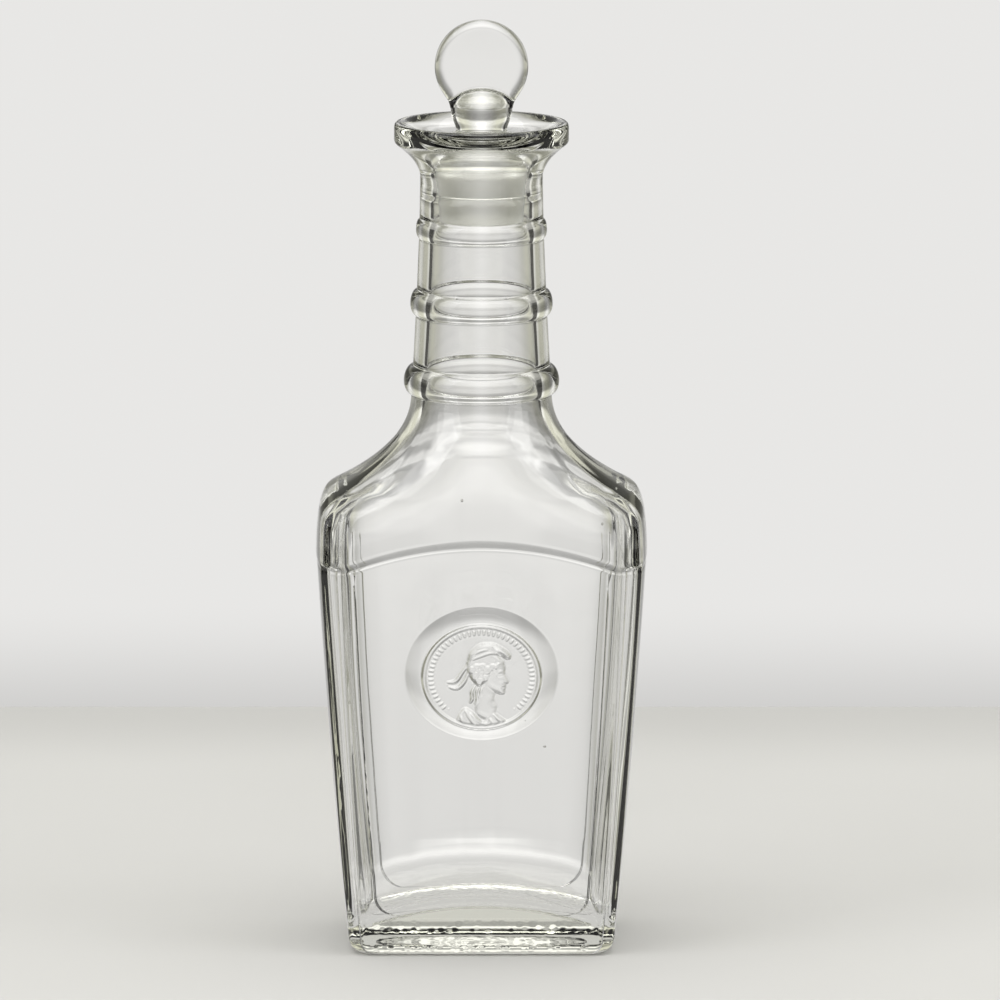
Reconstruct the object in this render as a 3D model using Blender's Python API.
"""A clear glass whiskey decanter: a flat-sided moulded bottle and its ground glass stopper.

Metres, +Z up. The origin is the centre of the foot, and the medallion faces -Y.
"""

import math

import bmesh
import bpy
from mathutils import Vector

MM = 0.001

# Foot and tapered body
FOOT_HALF_WIDTH = 43.4 * MM
FOOT_HALF_DEPTH = 29.5 * MM
SIDE_BELLY = 0.6 * MM
FOOT_SIDE_BOW = 1.0 * MM
LEDGE_SIDE_BOW = 2.8 * MM
FOOT_FACET = 4.2 * MM
LEDGE_FACET = 5.0 * MM
HEEL_RADIUS = 5.0 * MM
FOOT_BAND = 4.0 * MM
PUSH_UP = 2.0 * MM

# Arched ledge above the set-in panels, wider and deeper than the foot
LEDGE_HEIGHT = 127.5 * MM
SIDE_TAPER = 10.2 * MM
FACE_TAPER = 4.0 * MM
LEDGE_HALF_WIDTH = FOOT_HALF_WIDTH + SIDE_TAPER
LEDGE_HALF_DEPTH = FOOT_HALF_DEPTH + FACE_TAPER
ARCH_MARGIN = 10.6 * MM
ARCH_HALF_WIDTH = LEDGE_HALF_WIDTH - ARCH_MARGIN
ARCH_RISE = 8.0 * MM
PANEL_STEP = 0.9 * MM
SIDE_STEP = 0.25 * MM

# Shoulder, from the bowed sides to the round neck, stacked on the ledge
BAND_RISE = 22.3 * MM
BAND_INSET = 4.1 * MM
BAND_HANDLE = 13.0 * MM
BAND_TOP_HANDLE = 3.0 * MM
FLARE_FOOT_HEIGHT = LEDGE_HEIGHT + BAND_RISE
FLARE_FOOT_HALF_WIDTH = LEDGE_HALF_WIDTH - BAND_INSET
FLARE_FOOT_HANDLE = 15.0 * MM
FLARE_NECK_HANDLE = 14.0 * MM
FLARE_FOOT_ANGLE = 28.0
FLARE_RISE = 31.2 * MM
NECK_FOOT_HEIGHT = FLARE_FOOT_HEIGHT + FLARE_RISE
ROUND_START_SHARE = 0.65
ROUND_END_SHARE = 0.10
HOLLOW_ROUND_END_SHARE = 0.295
CREST_SHARE = 0.506
ROUND_START_HEIGHT = LEDGE_HEIGHT + BAND_RISE * ROUND_START_SHARE
ROUND_END_HEIGHT = FLARE_FOOT_HEIGHT + FLARE_RISE * ROUND_END_SHARE
HOLLOW_ROUND_END_HEIGHT = FLARE_FOOT_HEIGHT + FLARE_RISE * HOLLOW_ROUND_END_SHARE
CREST_HEIGHT = FLARE_FOOT_HEIGHT + FLARE_RISE * CREST_SHARE
FACE_LEAN = 4.7 * MM
CREST_HALF_DEPTH = LEDGE_HALF_DEPTH - FACE_LEAN
FOOT_ROUND_SHARE = 0.10
LEDGE_ROUND_SHARE = 0.27
FACE_ROUND_SHARE = 0.0187
FACE_TOP_SHARE = 0.985
FACE_REACH_SHARE = 0.995

# Ground seat in the neck, which the bore and the neck's walls follow
SEAT_TOP_RADIUS = 15.3 * MM
SEAT_TAPER = 0.8 * MM
SEAT_BOTTOM_RADIUS = SEAT_TOP_RADIUS - SEAT_TAPER
SEAT_LENGTH = 9.5 * MM
SEAT_DROP = 13.5 * MM
SEAT_RELIEF = 1.5 * MM
SEAT_CLEARANCE = 0.3 * MM
BORE_RELIEF = 0.9 * MM
BORE_TOP_RADIUS = SEAT_BOTTOM_RADIUS + BORE_RELIEF

# Neck
NECK_WALL = 4.3 * MM
NECK_TAPER = 2.9 * MM
NECK_TAPER_POWER = 1.5
NECK_LENGTH = 69.5 * MM
NECK_TOP_RADIUS = BORE_TOP_RADIUS + NECK_WALL
NECK_FOOT_RADIUS = NECK_TOP_RADIUS + NECK_TAPER
NECK_TOP_HEIGHT = NECK_FOOT_HEIGHT + NECK_LENGTH

# Ring mouldings on the neck, each with its place up the neck, half height and stand-out
LOW_RING_SHARE = 0.0518
LOW_RING_HALF_HEIGHT = 4.6 * MM
LOW_RING_PROUD = 2.7 * MM
MID_RING_SHARE = 0.413
MID_RING_HALF_HEIGHT = 4.1 * MM
MID_RING_PROUD = 1.95 * MM
HIGH_RING_SHARE = 0.7583
HIGH_RING_HALF_HEIGHT = 3.0 * MM
HIGH_RING_PROUD = 1.05 * MM
LOW_RING_HEIGHT = NECK_FOOT_HEIGHT + NECK_LENGTH * LOW_RING_SHARE
MID_RING_HEIGHT = NECK_FOOT_HEIGHT + NECK_LENGTH * MID_RING_SHARE
HIGH_RING_HEIGHT = NECK_FOOT_HEIGHT + NECK_LENGTH * HIGH_RING_SHARE

# Lip
LIP_OVERHANG = 8.4 * MM
LIP_RISE = 17.5 * MM
LIP_BAND_HEIGHT = 5.5 * MM
LIP_UNDER_ANGLE = 36.0
LIP_CORNER = 1.8 * MM
RIM_THICKNESS = 2.2 * MM
LIP_NECK_HANDLE = 4.0 * MM
LIP_BAND_HANDLE = 4.0 * MM
LIP_RADIUS = NECK_TOP_RADIUS + LIP_OVERHANG
RIM_HEIGHT = NECK_TOP_HEIGHT + LIP_RISE
SEAT_TOP_HEIGHT = RIM_HEIGHT - SEAT_DROP

# Walls and the hollow
SIDE_WALL = 4.4 * MM
FACE_WALL = 4.2 * MM
SHOULDER_WALL = 4.7 * MM
FLOOR_THICKNESS = 6.0 * MM
FLOOR_RISE = 5.0 * MM
FLOOR_FACE_FILLET = 12.0 * MM
FLOOR_SIDE_FILLET = 5.0 * MM
BORE_WIDE_SHARE = 0.0432
BORE_NARROW_SHARE = 0.4604
BORE_WIDE_HEIGHT = NECK_FOOT_HEIGHT + NECK_LENGTH * BORE_WIDE_SHARE
BORE_NARROW_HEIGHT = NECK_FOOT_HEIGHT + NECK_LENGTH * BORE_NARROW_SHARE
MOUTH_HANDLE = 6.0 * MM
HOLLOW_POWER = 10.0
FOOT_POWER = 6.0
ROUND_POWER = 2.0
FLOOR_RING_SHARES = (0.3, 0.65)
PUSH_UP_RING_SHARES = (1.0, 0.8, 0.45)

# Stopper, with heights above the seat's top
PLUG_LENGTH = 19.2 * MM
PLUG_END_RADIUS = 13.5 * MM
PLUG_CORNER = 1.8 * MM
PLUG_GROOVE = 0.35 * MM
PLUG_SHOULDER_HEIGHT = 9.6 * MM
PLUG_SHOULDER_SHARE = 0.7
STEM_RADIUS = 8.1 * MM
STEM_HEIGHT = 10.7 * MM
STEM_SPREAD_SHARE = 1.4
STEM_RISE_SHARE = 0.3
KNOB_RADIUS = 9.9 * MM
KNOB_HEIGHT = 18.0 * MM
KNOB_DOME = 6.0 * MM
DISC_RADIUS = 15.0 * MM
DISC_HEIGHT = 31.5 * MM
DISC_THICKNESS = 6.4 * MM
DISC_EDGE = 1.5 * MM

# Oval medallion on the front panel, a raised coin in a dish
MEDALLION_HEIGHT = 92.5 * MM
COIN_HALF_WIDTH = 18.9 * MM
COIN_HALF_HEIGHT = 17.1 * MM
COIN_WALL = 0.3 * MM
COIN_RIM_WIDTH = 0.9 * MM
COIN_RIM_DEPTH = 0.15 * MM
COIN_FACE_DEPTH = 0.5 * MM
DISH_BORDER_WIDTH = 5.7 * MM
DISH_BORDER_HEIGHT = 4.7 * MM
DISH_DEPTH = 1.3 * MM
DISH_RISE = 1.5 * MM
DISH_SLOPE_SHARE = 0.8
DISH_HALF_WIDTH = COIN_HALF_WIDTH + DISH_BORDER_WIDTH
DISH_HALF_HEIGHT = COIN_HALF_HEIGHT + DISH_BORDER_HEIGHT

# Facets and cutting overrun
OVERRUN = 4.0 * MM
AROUND = 56
STOPPER_AROUND = 44
MEDALLION_AROUND = 48
CURVE_STEPS = 6
CORNER_STEPS = 3
BODY_STEPS = 4
RING_STEPS = 6
ARCH_STEPS = 24
CROWN_LEVELS = 12
CROWN_STEPS = 16
HOLLOW_BAND_STEPS = 4
HOLLOW_FLARE_STEPS = 8


def blend(low, high, share):
    return low + (high - low) * share


def ease(low, high, value):
    """Share of the way from low to high, with soft ends."""
    share = min(max((value - low) / (high - low), 0.0), 1.0)
    return share * share * (3.0 - 2.0 * share)


def bezier(start, first, second, end, steps=CURVE_STEPS):
    """Points after the start of a cubic curve, up to and with its end."""
    points = []
    for step in range(1, steps + 1):
        t = step / steps
        u = 1.0 - t
        shares = (u * u * u, 3.0 * u * u * t, 3.0 * u * t * t, t * t * t)
        knots = (start, first, second, end)
        points.append(tuple(sum(s * k[axis] for s, k in zip(shares, knots)) for axis in (0, 1)))
    return points


def side_half_width(height):
    """Half width of the tapered body at its middle depth."""
    share = height / LEDGE_HEIGHT
    belly = SIDE_BELLY * 4.0 * share * (1.0 - share)
    return blend(FOOT_HALF_WIDTH, LEDGE_HALF_WIDTH, share) + belly


def face_half_depth(height):
    """Half depth of the flat faces: a straight taper, leaning back in above the ledge."""
    if height <= LEDGE_HEIGHT:
        return blend(FOOT_HALF_DEPTH, LEDGE_HALF_DEPTH, height / LEDGE_HEIGHT)
    share = (height - LEDGE_HEIGHT) / (CREST_HEIGHT - LEDGE_HEIGHT)
    return blend(LEDGE_HALF_DEPTH, CREST_HALF_DEPTH, share * share)


def round_share(height):
    """How round a level is: a full circle at 1, and nearly flat bowed sides near 0."""
    if height <= LEDGE_HEIGHT:
        return blend(FOOT_ROUND_SHARE, LEDGE_ROUND_SHARE, height / LEDGE_HEIGHT)
    return blend(LEDGE_ROUND_SHARE, 1.0, ease(ROUND_START_HEIGHT, ROUND_END_HEIGHT, height))


def face_round_share(height):
    """How round the faces are: nearly flat at the ledge, and a circle at 1, on the crest."""
    share = (height - LEDGE_HEIGHT) / (CREST_HEIGHT - LEDGE_HEIGHT)
    return max(share, 0.0) ** 3 + FACE_ROUND_SHARE


def neck_radius(height):
    """Radius of the neck, which spreads a little faster towards its foot."""
    share = (NECK_TOP_HEIGHT - height) / NECK_LENGTH
    return NECK_TOP_RADIUS + NECK_TAPER * share ** NECK_TAPER_POWER


def turns(count):
    return [2.0 * math.pi * step / count for step in range(count)]


def circle(radius, height, count):
    return [(radius * math.cos(turn), radius * math.sin(turn), height) for turn in turns(count)]


def bowed_level(half_width, height):
    """Level between two equal side arcs, cut off flat beyond the faces."""
    arc_radius = half_width / round_share(height)
    arc_centre = half_width - arc_radius
    limit = max(face_half_depth(min(height, CREST_HEIGHT)), half_width * round_share(height)) + OVERRUN
    points = []
    for turn in turns(AROUND):
        across, along = abs(math.cos(turn)), abs(math.sin(turn))
        reach = arc_centre * across + math.sqrt(arc_radius ** 2 - (arc_centre * along) ** 2)
        if along * reach > limit:
            reach = limit / along
        points.append((reach * math.cos(turn), reach * math.sin(turn), height))
    return points


def soft_level(half_width, half_depth, height, power):
    """Level with soft corners: an ellipse at power 2, squarer above."""
    points = []
    for turn in turns(AROUND):
        across = abs(math.cos(turn)) / half_width
        along = abs(math.sin(turn)) / half_depth
        reach = (across ** power + along ** power) ** (-1.0 / power)
        points.append((reach * math.cos(turn), reach * math.sin(turn), height))
    return points


def faceted_level(size_height, height, inset):
    """Level of the set-in body: bowed sides, flat faces and a facet at each corner."""
    share = size_height / LEDGE_HEIGHT
    bow = blend(FOOT_SIDE_BOW, LEDGE_SIDE_BOW, min(share, 1.0))
    facet = blend(FOOT_FACET, LEDGE_FACET, share)
    half_width = side_half_width(size_height) - SIDE_STEP
    half_depth = face_half_depth(size_height) - PANEL_STEP
    facet_sum = half_width - bow + half_depth - facet - inset * math.sqrt(2.0)
    half_width -= inset
    half_depth -= inset
    curl = bow / half_depth ** 2
    side_end = (1.0 - math.sqrt(1.0 - 4.0 * curl * (facet_sum - half_width))) / (2.0 * curl)
    quarter = []
    for step in range(CURVE_STEPS):
        along = side_end * step / (CURVE_STEPS - 1)
        quarter.append((half_width - curl * along * along, along))
    quarter.append((facet_sum - half_depth, half_depth))
    right = quarter + [(-x, y) for x, y in reversed(quarter)]
    return [(x, y, height) for x, y in right] + [(-x, -y, height) for x, y in right if y > 0.0]


def loft(name, levels, low_tip=None, high_tip=None):
    """Closed solid through levels of equally many points, bottom to top."""
    mesh = bpy.data.meshes.new(name)
    build = bmesh.new()
    rows = [[build.verts.new(point) for point in level] for level in levels]
    count = len(rows[0])
    for low, high in zip(rows, rows[1:]):
        for k in range(count):
            after = (k + 1) % count
            build.faces.new((low[k], low[after], high[after], high[k]))
    for row, tip, up in ((rows[0], low_tip, False), (rows[-1], high_tip, True)):
        if tip is None:
            build.faces.new(row if up else list(reversed(row)))
            continue
        apex = build.verts.new(tip)
        for k in range(count):
            after = (k + 1) % count
            edge = (row[k], row[after]) if up else (row[after], row[k])
            build.faces.new(edge + (apex,))
    bmesh.ops.recalc_face_normals(build, faces=build.faces)
    build.to_mesh(mesh)
    build.free()
    mesh.shade_smooth()
    part = bpy.data.objects.new(name, mesh)
    bpy.context.scene.collection.objects.link(part)
    return part


def cutter(part):
    part.hide_render = True
    part.display_type = "WIRE"
    return part


def combine(part, other, operation):
    change = part.modifiers.new(f"{operation.lower()} {other.name}", "BOOLEAN")
    change.operation = operation
    change.solver = "EXACT"
    change.object = other


def glass(name, colour, roughness):
    material = bpy.data.materials.new(name)
    material.use_nodes = True
    shader = material.node_tree.nodes["Principled BSDF"]
    shader.inputs["Base Color"].default_value = colour
    shader.inputs["Roughness"].default_value = roughness
    shader.inputs["Metallic"].default_value = 0.0
    shader.inputs["IOR"].default_value = 1.47
    shader.inputs["Transmission Weight"].default_value = 1.0
    return material


def ring_stations(centre, half_height, proud):
    """Outline of a half-round ring moulding, standing on the tapered neck."""
    stations = []
    for step in range(RING_STEPS + 1):
        turn = math.pi * (step / RING_STEPS - 0.5)
        height = centre + half_height * math.sin(turn)
        stations.append((neck_radius(height) + proud * math.cos(turn), height))
    return stations


def outer_stations():
    """Side outline of the bottle from foot to rim, as half width and height."""
    heights = [LEDGE_HEIGHT * step / BODY_STEPS for step in range(BODY_STEPS + 1)]
    stations = [(side_half_width(height), height) for height in heights]
    lean = math.radians(FLARE_FOOT_ANGLE)
    ledge = (LEDGE_HALF_WIDTH, LEDGE_HEIGHT)
    flare_foot = (FLARE_FOOT_HALF_WIDTH, FLARE_FOOT_HEIGHT)
    band_top = (
        flare_foot[0] + BAND_TOP_HANDLE * math.cos(lean),
        flare_foot[1] - BAND_TOP_HANDLE * math.sin(lean),
    )
    flare_start = (
        flare_foot[0] - FLARE_FOOT_HANDLE * math.cos(lean),
        flare_foot[1] + FLARE_FOOT_HANDLE * math.sin(lean),
    )
    stations += bezier(ledge, (ledge[0], ledge[1] + BAND_HANDLE), band_top, flare_foot)
    neck_foot_height = LOW_RING_HEIGHT - LOW_RING_HALF_HEIGHT
    neck_foot = (neck_radius(neck_foot_height), neck_foot_height)
    flare_end = (neck_foot[0], neck_foot[1] - FLARE_NECK_HANDLE)
    stations += bezier(flare_foot, flare_start, flare_end, neck_foot, 2 * CURVE_STEPS)
    stations += ring_stations(LOW_RING_HEIGHT, LOW_RING_HALF_HEIGHT, LOW_RING_PROUD)[1:]
    stations += ring_stations(MID_RING_HEIGHT, MID_RING_HALF_HEIGHT, MID_RING_PROUD)
    stations += ring_stations(HIGH_RING_HEIGHT, HIGH_RING_HALF_HEIGHT, HIGH_RING_PROUD)
    neck_top = (NECK_TOP_RADIUS, NECK_TOP_HEIGHT)
    under = math.radians(LIP_UNDER_ANGLE)
    corner = (LIP_RADIUS - LIP_CORNER, RIM_HEIGHT - LIP_BAND_HEIGHT)
    band_foot = (corner[0] + LIP_CORNER * math.sin(under), corner[1] - LIP_CORNER * math.cos(under))
    stations.append(neck_top)
    stations += bezier(
        neck_top,
        (neck_top[0], neck_top[1] + LIP_NECK_HANDLE),
        (band_foot[0] - LIP_BAND_HANDLE * math.cos(under), band_foot[1] - LIP_BAND_HANDLE * math.sin(under)),
        band_foot,
    )
    for step in range(1, CORNER_STEPS + 1):
        turn = blend(under, 0.5 * math.pi, step / CORNER_STEPS)
        stations.append((corner[0] + LIP_CORNER * math.sin(turn), corner[1] - LIP_CORNER * math.cos(turn)))
    for step in range(CORNER_STEPS + 1):
        turn = 0.5 * math.pi * step / CORNER_STEPS
        side = LIP_RADIUS - LIP_CORNER / 2.0 * (1.0 - math.cos(turn))
        stations.append((side, RIM_HEIGHT - LIP_CORNER * (1.0 - math.sin(turn))))
    return stations


def make_outer_form():
    return loft("bottle", [bowed_level(half_width, height) for half_width, height in outer_stations()])


def crowned_level(height):
    """Level between the front and back faces, each bowed out along an arc."""
    depth = face_half_depth(height)
    radius = CREST_HALF_DEPTH / face_round_share(height)
    reach = FACE_REACH_SHARE * math.sqrt(radius ** 2 - (radius - depth) ** 2)
    reach = min(LEDGE_HALF_WIDTH + OVERRUN, reach)
    back = []
    for step in range(CROWN_STEPS + 1):
        x = reach * math.cos(math.pi * step / CROWN_STEPS)
        back.append((x, depth - radius + math.sqrt(radius ** 2 - x * x), height))
    return back + [(-x, -y, height) for x, y, height in back]


def clear_level(height):
    """Level wide of everything, with as many points as a crowned one."""
    clear = LEDGE_HALF_WIDTH + OVERRUN
    across = [clear * math.cos(math.pi * step / CROWN_STEPS) for step in range(CROWN_STEPS + 1)]
    back = [(x, clear, height) for x in across]
    return back + [(-x, -y, height) for x, y, height in back]


def make_face_form():
    """What the two faces leave, open above the crest where the neck is round."""
    levels = [crowned_level(-OVERRUN)]
    for step in range(CROWN_LEVELS + 1):
        levels.append(crowned_level(blend(LEDGE_HEIGHT, CREST_HEIGHT, FACE_TOP_SHARE * step / CROWN_LEVELS)))
    levels += [clear_level(CREST_HEIGHT), clear_level(RIM_HEIGHT + OVERRUN)]
    return cutter(loft("face_form", levels))


def make_panel_core():
    """Set-in body with its facets and rounded heel, running on past the arch."""
    levels = [faceted_level(0.0, -OVERRUN, HEEL_RADIUS)]
    for step in range(CURVE_STEPS + 1):
        turn = 0.5 * math.pi * step / CURVE_STEPS
        height = HEEL_RADIUS * (1.0 - math.cos(turn))
        levels.append(faceted_level(0.0, height, HEEL_RADIUS * (1.0 - math.sin(turn))))
    for step in range(1, BODY_STEPS + 1):
        height = blend(HEEL_RADIUS, LEDGE_HEIGHT, step / BODY_STEPS)
        levels.append(faceted_level(height, height, 0.0))
    over_arch = LEDGE_HEIGHT + ARCH_RISE + OVERRUN
    levels.append(faceted_level(over_arch, over_arch, 0.0))
    return cutter(loft("panel_core", levels))


def make_panel_collar(core):
    """What the mould takes off round the set-in body, up to the arched ledge."""
    wide = LEDGE_HALF_WIDTH + OVERRUN
    outline = [(-wide, -OVERRUN), (wide, -OVERRUN), (wide, LEDGE_HEIGHT)]
    for step in range(ARCH_STEPS + 1):
        across = 1.0 - 2.0 * step / ARCH_STEPS
        outline.append((ARCH_HALF_WIDTH * across, LEDGE_HEIGHT + ARCH_RISE * (1.0 - across * across)))
    outline.append((-wide, LEDGE_HEIGHT))
    deep = LEDGE_HALF_DEPTH + OVERRUN
    levels = [[(x, side, z) for x, z in outline] for side in (-deep, deep)]
    collar = cutter(loft("panel_collar", levels))
    combine(collar, core, "DIFFERENCE")
    return collar


def bore_radius(height):
    foot_radius = NECK_FOOT_RADIUS - SHOULDER_WALL
    return blend(foot_radius, BORE_TOP_RADIUS, ease(BORE_WIDE_HEIGHT, BORE_NARROW_HEIGHT, height))


def hollow_level(half_width, height):
    """Level of the hollow: squarish behind the flat faces, round in the neck."""
    flat_depth = face_half_depth(min(height, CREST_HEIGHT)) - PANEL_STEP - FACE_WALL
    share = ease(ROUND_START_HEIGHT, HOLLOW_ROUND_END_HEIGHT, height)
    power = blend(HOLLOW_POWER, ROUND_POWER, share)
    return soft_level(half_width, min(flat_depth, half_width), height, power)


def make_hollow():
    """The hollow from its arched floor up to the mouth, as one solid to cut away."""
    levels = []
    floor_side = FLOOR_THICKNESS + FLOOR_FACE_FILLET
    half_width = side_half_width(floor_side) - SIDE_WALL
    half_depth = face_half_depth(floor_side) - PANEL_STEP - FACE_WALL

    def arched(points):
        rise = [FLOOR_RISE * (1.0 - (x / half_width) ** 2) for x, y, z in points]
        return [(x, y, z + up) for (x, y, z), up in zip(points, rise)]

    for share in FLOOR_RING_SHARES:
        wide = (half_width - FLOOR_SIDE_FILLET) * share
        flat = soft_level(wide, (half_depth - FLOOR_FACE_FILLET) * share, FLOOR_THICKNESS, HOLLOW_POWER)
        levels.append(arched(flat))
    for step in range(CURVE_STEPS):
        turn = 0.5 * math.pi * step / CURVE_STEPS
        side = half_width - FLOOR_SIDE_FILLET * (1.0 - math.sin(turn))
        depth = half_depth - FLOOR_FACE_FILLET * (1.0 - math.sin(turn))
        height = FLOOR_THICKNESS + FLOOR_FACE_FILLET * (1.0 - math.cos(turn))
        levels.append(arched(soft_level(side, depth, height, HOLLOW_POWER)))
    body_foot = floor_side + FLOOR_RISE
    for step in range(BODY_STEPS + 1):
        height = blend(body_foot, LEDGE_HEIGHT, step / BODY_STEPS)
        levels.append(hollow_level(side_half_width(height) - SIDE_WALL, height))

    lean = math.radians(FLARE_FOOT_ANGLE)
    flare_foot = (
        FLARE_FOOT_HALF_WIDTH - SHOULDER_WALL * math.sin(lean),
        FLARE_FOOT_HEIGHT - SHOULDER_WALL * math.cos(lean),
    )
    ledge = (LEDGE_HALF_WIDTH - SIDE_WALL, LEDGE_HEIGHT)
    band_top = (
        flare_foot[0] + BAND_TOP_HANDLE * math.cos(lean),
        flare_foot[1] - BAND_TOP_HANDLE * math.sin(lean),
    )
    flare_start = (
        flare_foot[0] - FLARE_FOOT_HANDLE * math.cos(lean),
        flare_foot[1] + FLARE_FOOT_HANDLE * math.sin(lean),
    )
    neck_foot = (bore_radius(NECK_FOOT_HEIGHT), NECK_FOOT_HEIGHT)
    flare_end = (neck_foot[0], neck_foot[1] - FLARE_NECK_HANDLE)
    band_handle = (ledge[0], ledge[1] + BAND_HANDLE - SHOULDER_WALL)
    outline = bezier(ledge, band_handle, band_top, flare_foot, HOLLOW_BAND_STEPS)
    outline += bezier(flare_foot, flare_start, flare_end, neck_foot, HOLLOW_FLARE_STEPS)
    for step in range(1, BODY_STEPS + 1):
        height = blend(BORE_WIDE_HEIGHT, BORE_NARROW_HEIGHT, step / BODY_STEPS)
        outline.append((bore_radius(height), height))
    seat_bottom = SEAT_TOP_HEIGHT - SEAT_LENGTH
    outline.append((BORE_TOP_RADIUS, seat_bottom - SEAT_RELIEF))
    outline.append((SEAT_BOTTOM_RADIUS, seat_bottom))
    seat_top = (SEAT_TOP_RADIUS, SEAT_TOP_HEIGHT)
    outline.append(seat_top)
    mouth = (LIP_RADIUS - RIM_THICKNESS, RIM_HEIGHT)
    outline += bezier(
        seat_top,
        (seat_top[0], seat_top[1] + MOUTH_HANDLE),
        (mouth[0] - MOUTH_HANDLE, mouth[1] - RIM_THICKNESS),
        mouth,
    )
    outline.append((mouth[0] + OVERRUN, mouth[1] + OVERRUN))
    levels += [hollow_level(half, height) for half, height in outline]
    return cutter(loft("hollow", levels, low_tip=(0.0, 0.0, FLOOR_THICKNESS + FLOOR_RISE)))


def make_push_up():
    """Shallow dome under the foot, inside the band that it stands on."""
    inset = HEEL_RADIUS + FOOT_BAND
    half_width = FOOT_HALF_WIDTH - inset
    half_depth = FOOT_HALF_DEPTH - inset
    levels = [soft_level(half_width, half_depth, -OVERRUN, FOOT_POWER)]
    for share in PUSH_UP_RING_SHARES:
        height = PUSH_UP * (1.0 - share * share)
        levels.append(soft_level(half_width * share, half_depth * share, height, FOOT_POWER))
    return cutter(loft("push_up", levels, high_tip=(0.0, 0.0, PUSH_UP)))


def make_medallion_cut():
    """Dished oval with a raised coin left standing low in it, square to the tapered front panel."""
    slope_width = DISH_SLOPE_SHARE * (DISH_BORDER_HEIGHT - DISH_RISE)
    slope_per_depth = slope_width / DISH_DEPTH
    coin = (COIN_HALF_WIDTH, COIN_HALF_HEIGHT, 0.0)
    dish = (DISH_HALF_WIDTH, DISH_HALF_HEIGHT, DISH_RISE)
    stations = [
        (dish, slope_per_depth * OVERRUN, -OVERRUN),
        (dish, -slope_width, DISH_DEPTH),
        (coin, COIN_WALL, DISH_DEPTH),
        (coin, 0.0, COIN_RIM_DEPTH),
        (coin, -COIN_RIM_WIDTH, COIN_RIM_DEPTH),
        (coin, -COIN_RIM_WIDTH - COIN_WALL, COIN_FACE_DEPTH),
    ]
    levels = []
    for (half_width, half_height, rise), spread, depth in stations:
        wide, tall = half_width + spread, half_height + spread
        around = turns(MEDALLION_AROUND)
        levels.append([(wide * math.cos(turn), rise + tall * math.sin(turn), -depth) for turn in around])
    part = cutter(loft("medallion_cut", list(reversed(levels))))
    part.rotation_euler = (0.5 * math.pi + math.atan2(FACE_TAPER, LEDGE_HEIGHT), 0.0, 0.0)
    part.location = (0.0, -(face_half_depth(MEDALLION_HEIGHT) - PANEL_STEP), MEDALLION_HEIGHT)
    return part


def make_bottle():
    bottle = make_outer_form()
    bottle.data.materials.append(glass("bottle_glass", (0.93, 0.95, 0.92, 1.0), 0.03))
    core = make_panel_core()
    combine(bottle, make_face_form(), "INTERSECT")
    combine(bottle, make_panel_collar(core), "DIFFERENCE")
    combine(bottle, make_push_up(), "DIFFERENCE")
    combine(bottle, make_medallion_cut(), "DIFFERENCE")
    combine(bottle, make_hollow(), "DIFFERENCE")
    return bottle


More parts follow.
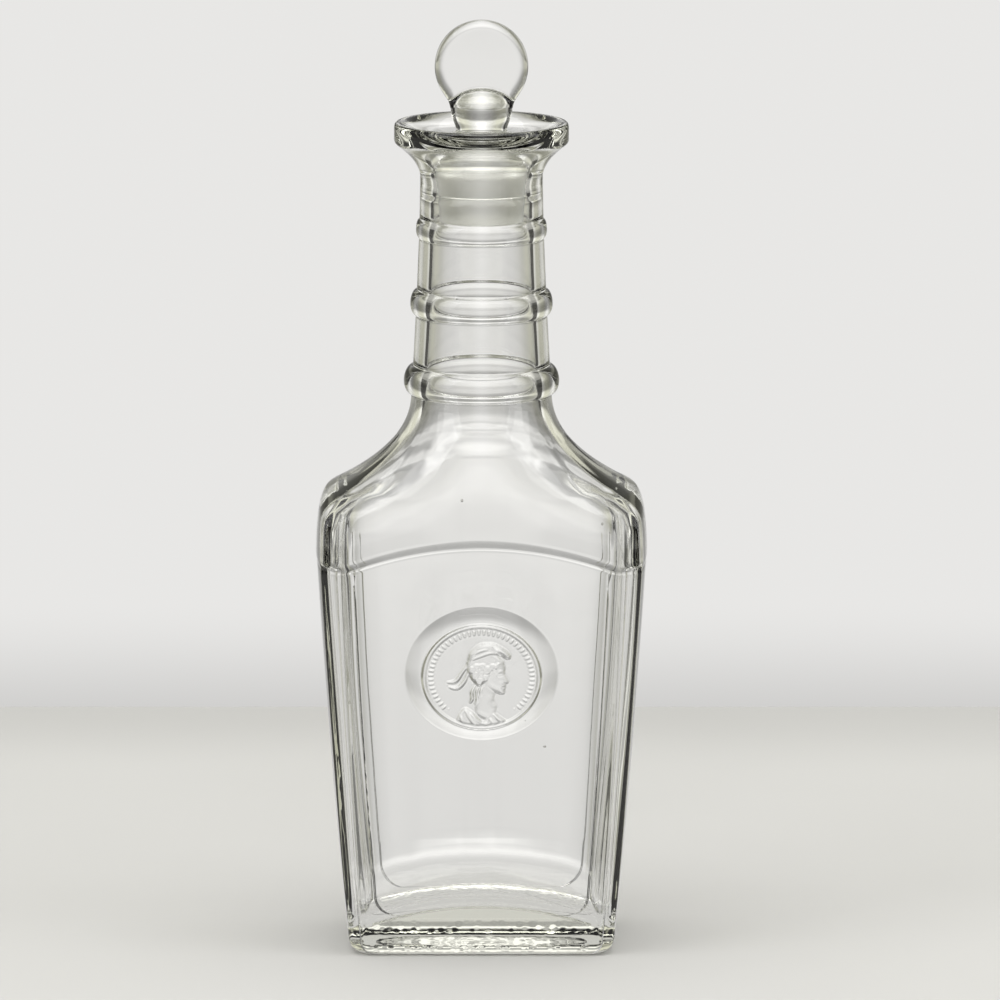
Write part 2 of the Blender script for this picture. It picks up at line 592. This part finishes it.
def plug_stations():
    """Outline of the turned stopper from the plug's end to the knob's widest point."""
    bottom = -PLUG_LENGTH
    corner = PLUG_END_RADIUS - PLUG_CORNER
    stations = []
    for step in range(CORNER_STEPS + 1):
        turn = 0.5 * math.pi * step / CORNER_STEPS
        height = bottom + PLUG_CORNER * (1.0 - math.cos(turn))
        stations.append((corner + PLUG_CORNER * math.sin(turn), height))
    seat_bottom_radius = SEAT_BOTTOM_RADIUS - SEAT_CLEARANCE
    stations.append((seat_bottom_radius - PLUG_GROOVE, -SEAT_LENGTH - PLUG_GROOVE))
    stations.append((seat_bottom_radius - 2.0 * PLUG_GROOVE, -SEAT_LENGTH))
    stations.append((seat_bottom_radius, -SEAT_LENGTH + PLUG_GROOVE))
    seat_top = (SEAT_TOP_RADIUS - SEAT_CLEARANCE, 0.0)
    stations.append(seat_top)
    stem = (STEM_RADIUS, STEM_HEIGHT)
    shoulder_corner = (seat_top[0], PLUG_SHOULDER_HEIGHT * PLUG_SHOULDER_SHARE)
    under_stem = (STEM_RADIUS * STEM_SPREAD_SHARE, PLUG_SHOULDER_HEIGHT)
    stations += bezier(seat_top, shoulder_corner, under_stem, stem)
    knob = (KNOB_RADIUS, KNOB_HEIGHT)
    over_stem = (STEM_RADIUS, blend(STEM_HEIGHT, KNOB_HEIGHT, STEM_RISE_SHARE))
    under_knob = (KNOB_RADIUS, (STEM_HEIGHT + KNOB_HEIGHT) / 2.0)
    stations += bezier(stem, over_stem, under_knob, knob)
    return stations


def make_turned_stopper():
    """Plug, shoulder, stem and domed knob, turned about the joint axis."""
    stations = plug_stations()
    for step in range(1, CURVE_STEPS):
        turn = 0.5 * math.pi * step / CURVE_STEPS
        stations.append((KNOB_RADIUS * math.cos(turn), KNOB_HEIGHT + KNOB_DOME * math.sin(turn)))
    levels = [circle(radius, height, STOPPER_AROUND) for radius, height in stations]
    return loft("stopper", levels, high_tip=(0.0, 0.0, KNOB_HEIGHT + KNOB_DOME))


def disc_outline(inset):
    """Round head running down in two tangents to the knob."""
    radius = DISC_RADIUS - inset
    join = (KNOB_RADIUS - DISC_EDGE / 2.0 - inset, KNOB_HEIGHT)
    drop = DISC_HEIGHT - join[1]
    span = math.hypot(join[0], drop)
    start = math.acos(min(radius / span, 1.0)) - math.atan2(drop, join[0])
    outline = [join]
    for step in range(ARCH_STEPS + 1):
        turn = blend(start, math.pi - start, step / ARCH_STEPS)
        outline.append((radius * math.cos(turn), DISC_HEIGHT + radius * math.sin(turn)))
    outline.append((-join[0], join[1]))
    return outline


def make_disc():
    """Flat head with rounded edges, standing on the knob."""
    stations = []
    for step in range(CURVE_STEPS + 1):
        turn = math.pi * (step / CURVE_STEPS - 0.5)
        stations.append((DISC_THICKNESS / 2.0 * math.sin(turn), DISC_EDGE * (1.0 - math.cos(turn))))
    levels = [[(x, along, z) for x, z in disc_outline(inset)] for along, inset in stations]
    return cutter(loft("disc_head", levels))


def make_stopper():
    stopper = make_turned_stopper()
    stopper.data.materials.append(glass("stopper_glass", (0.92, 0.93, 0.90, 1.0), 0.08))
    disc = make_disc()
    combine(stopper, disc, "UNION")
    seat = Vector((0.0, 0.0, SEAT_TOP_HEIGHT))
    disc.location = seat
    stopper.location = seat
    return stopper


def main():
    for old in list(bpy.data.objects):
        bpy.data.objects.remove(old, do_unlink=True)
    make_bottle()
    make_stopper()


main()
